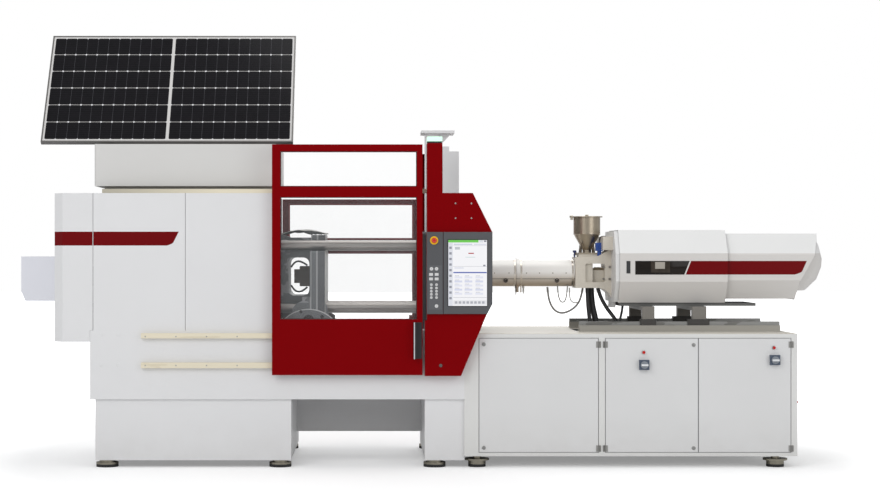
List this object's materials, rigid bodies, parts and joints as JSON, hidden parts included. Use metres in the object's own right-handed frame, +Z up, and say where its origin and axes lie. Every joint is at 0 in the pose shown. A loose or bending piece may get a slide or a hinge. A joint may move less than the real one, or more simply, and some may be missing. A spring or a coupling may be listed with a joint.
{
  "type": "injection moulding machine",
  "caption": "Electric injection moulding machine with toggle clamp, sliding safety gates, control panel, sliding injection unit and a solar panel on its hood.",
  "frame": {"origin": "on the floor, under the centre of the machine's box", "axes": "+X along the machine towards the injection end, +Y away from the operator, +Z up"},
  "size_m": [6.01, 1.66, 3.206],
  "materials": {
    "white_paint": "powder coat",
    "pale_paint": "powder coat",
    "red_paint": "powder coat",
    "dark_paint": "textured paint",
    "grey_paint": "paint",
    "cast_paint": "painted casting",
    "light_cast": "painted casting",
    "steel": "ground",
    "bronze": "machined",
    "stainless": "brushed",
    "clear_pane": "clear polycarbonate",
    "display_glass": "lit display",
    "solar_cells": "glazed cells",
    "aluminium_frame": "anodised",
    "rubber_feet": "matt",
    "black_plastic": "matt",
    "rail_paint": "cream coat",
    "beacon_lens": "lit lens",
    "hose_black": "corrugated",
    "hose_grey": "corrugated",
    "switch_red": "gloss"
  },
  "bodies": {
    "base": {"clamp_bed": "white_paint", "injection_bed": "white_paint", "levelling_feet": "rubber_feet", "tie_bars": "steel", "fixed_platen": "cast_paint", "cover_frame": "grey_paint", "front_cover_left": "white_paint", "front_cover_right": "white_paint", "rear_cover": "white_paint", "end_cover": "white_paint", "drive_cover": "pale_paint", "top_hood": "white_paint", "gate_rails": "rail_paint", "guard_housing": "red_paint", "key_panel": "dark_paint", "beacon": "beacon_lens", "robot_console": "white_paint", "rear_tower": "white_paint", "solar_frame": "aluminium_frame", "solar_laminate": "solar_cells", "guide_beams": "steel"},
    "front_gate": {"front_gate": "red_paint", "front_gate_panes": "clear_pane", "front_gate_handle": "black_plastic"},
    "rear_gate": {"rear_gate": "red_paint", "rear_gate_panes": "clear_pane"},
    "clamp_end": {"end_platen": "cast_paint", "clamp_drive": "dark_paint"},
    "moving_platen": {"moving_platen": "cast_paint"},
    "ejector": {"ejector": "bronze"},
    "rear_link_upper": {"rear_link_upper": "cast_paint"},
    "front_link_upper": {"front_link_upper": "cast_paint"},
    "rear_link_lower": {"rear_link_lower": "cast_paint"},
    "front_link_lower": {"front_link_lower": "cast_paint"},
    "crosshead": {"crosshead": "steel"},
    "crosshead_link_upper": {"crosshead_link_upper": "steel"},
    "crosshead_link_lower": {"crosshead_link_lower": "steel"},
    "screen": {"screen_housing": "dark_paint", "display": "display_glass"},
    "stop_button": {"stop_button": "switch_red"},
    "door_left": {"door_left": "white_paint"},
    "door_middle": {"door_middle": "white_paint"},
    "door_right": {"door_right": "white_paint"},
    "isolator_left": {"isolator_left": "grey_paint"},
    "isolator_right": {"isolator_right": "grey_paint"},
    "side_switch": {"side_switch": "switch_red"},
    "carriage": {"injection_carriage": "cast_paint", "barrel_head": "light_cast", "barrel": "stainless", "barrel_guard": "stainless", "hopper": "stainless", "hood_rear": "white_paint", "grey_conduit": "hose_grey", "power_hose_left": "hose_black", "power_hose_middle": "hose_black"},
    "hopper_lid": {"hopper_lid": "stainless"},
    "hopper_gate": {"hopper_gate": "steel"},
    "hood_front": {"hood_front": "white_paint"},
    "injection_drive": {"injection_drive": "dark_paint"},
    "screw": {"plasticising_screw": "steel"}
  },
  "joints": [
    {"name": "front_gate_slide", "type": "slide", "parent": "base", "child": "front_gate", "axis": [-1, 0, 0], "range_m": [0, 0.92]},
    {"name": "rear_gate_slide", "type": "slide", "parent": "base", "child": "rear_gate", "axis": [-1, 0, 0], "range_m": [0, 0.92]},
    {"name": "mould_height_adjustment", "type": "slide", "parent": "base", "child": "clamp_end", "axis": [1, 0, 0], "range_m": [-0.09, 0.12]},
    {"name": "mould_closing", "type": "slide", "parent": "clamp_end", "child": "moving_platen", "axis": [1, 0, 0], "range_m": [0, 0.45192]},
    {"name": "rear_link_upper_turn", "type": "hinge", "parent": "clamp_end", "child": "rear_link_upper", "pos_m": [-1.528, 0, 1.715], "axis": [0, -1, 0], "range_deg": [0, 100.05]},
    {"name": "front_link_upper_turn", "type": "hinge", "parent": "rear_link_upper", "child": "front_link_upper", "pos_m": [-1.57662, 0, 1.43925], "axis": [0, -1, 0], "range_deg": [-148.23, 0]},
    {"name": "rear_link_lower_turn", "type": "hinge", "parent": "clamp_end", "child": "rear_link_lower", "pos_m": [-1.528, 0, 1.025], "axis": [0, 1, 0], "range_deg": [0, 100.05]},
    {"name": "front_link_lower_turn", "type": "hinge", "parent": "rear_link_lower", "child": "front_link_lower", "pos_m": [-1.57662, 0, 1.30075], "axis": [0, 1, 0], "range_deg": [-148.23, 0]},
    {"name": "crosshead_slide", "type": "slide", "parent": "clamp_end", "child": "crosshead", "axis": [1, 0, 0], "range_m": [0, 0.34669]},
    {"name": "crosshead_link_upper_turn", "type": "hinge", "parent": "crosshead", "child": "crosshead_link_upper", "pos_m": [-1.76789, 0, 1.44], "axis": [0, -1, 0], "range_deg": [0, 28.1]},
    {"name": "crosshead_link_lower_turn", "type": "hinge", "parent": "crosshead", "child": "crosshead_link_lower", "pos_m": [-1.76789, 0, 1.3], "axis": [0, 1, 0], "range_deg": [0, 28.1]},
    {"name": "ejector_stroke", "type": "slide", "parent": "moving_platen", "child": "ejector", "axis": [1, 0, 0], "range_m": [0, 0.08]},
    {"name": "screen_swivel", "type": "hinge", "parent": "base", "child": "screen", "pos_m": [0.107, -0.802, 1.4], "axis": [0, 0, -1], "range_deg": [0, 60]},
    {"name": "stop_button_press", "type": "slide", "parent": "base", "child": "stop_button", "axis": [0, 1, 0], "range_m": [0, 0.006], "stiffness_N_per_m": 900, "springref_m": -0.002},
    {"name": "door_left_swing", "type": "hinge", "parent": "base", "child": "door_left", "pos_m": [1.23, -0.706, 0.52], "axis": [0, 0, 1], "range_deg": [0, 90]},
    {"name": "door_middle_swing", "type": "hinge", "parent": "base", "child": "door_middle", "pos_m": [1.277, -0.706, 0.52], "axis": [0, 0, -1], "range_deg": [0, 85]},
    {"name": "door_right_swing", "type": "hinge", "parent": "base", "child": "door_right", "pos_m": [2.616, -0.706, 0.52], "axis": [0, 0, 1], "range_deg": [0, 110]},
    {"name": "isolator_left_turn", "type": "hinge", "parent": "door_middle", "child": "isolator_left", "pos_m": [1.555, -0.74, 0.74], "axis": [0, -1, 0], "range_deg": [-90, 0]},
    {"name": "isolator_right_turn", "type": "hinge", "parent": "door_right", "child": "isolator_right", "pos_m": [2.495, -0.74, 0.775], "axis": [0, -1, 0], "range_deg": [-90, 0]},
    {"name": "side_switch_turn", "type": "hinge", "parent": "base", "child": "side_switch", "pos_m": [2.661, -0.56, 0.462], "axis": [1, 0, 0], "range_deg": [0, 90]},
    {"name": "carriage_slide", "type": "slide", "parent": "base", "child": "carriage", "axis": [1, 0, 0], "range_m": [-0.05, 0.26]},
    {"name": "hopper_lid_swing", "type": "hinge", "parent": "carriage", "child": "hopper_lid", "pos_m": [1.228, 0.13, 1.815], "axis": [-1, 0, 0], "range_deg": [0, 100]},
    {"name": "hopper_gate_slide", "type": "slide", "parent": "carriage", "child": "hopper_gate", "axis": [-1, 0, 0], "range_m": [0, 0.07]},
    {"name": "hood_slide", "type": "slide", "parent": "carriage", "child": "hood_front", "axis": [1, 0, 0], "range_m": [0, 0.5]},
    {"name": "injection_stroke", "type": "slide", "parent": "carriage", "child": "injection_drive", "axis": [-1, 0, 0], "range_m": [0, 0.155]},
    {"name": "screw_rotation", "type": "hinge", "parent": "injection_drive", "child": "screw", "pos_m": [1, 0, 1.37], "axis": [1, 0, 0], "continuous": true}
  ],
  "couplings": [
    {"joint": "rear_link_upper_turn", "follows": "mould_closing", "rad_per_m": 3.8621},
    {"joint": "front_link_upper_turn", "follows": "mould_closing", "rad_per_m": -5.7229},
    {"joint": "rear_link_lower_turn", "follows": "mould_closing", "rad_per_m": 3.8621},
    {"joint": "front_link_lower_turn", "follows": "mould_closing", "rad_per_m": -5.7229},
    {"joint": "crosshead_slide", "follows": "mould_closing", "ratio": 0.76693},
    {"joint": "crosshead_link_upper_turn", "follows": "mould_closing", "rad_per_m": 1.0833},
    {"joint": "crosshead_link_lower_turn", "follows": "mould_closing", "rad_per_m": 1.0833}
  ]
}
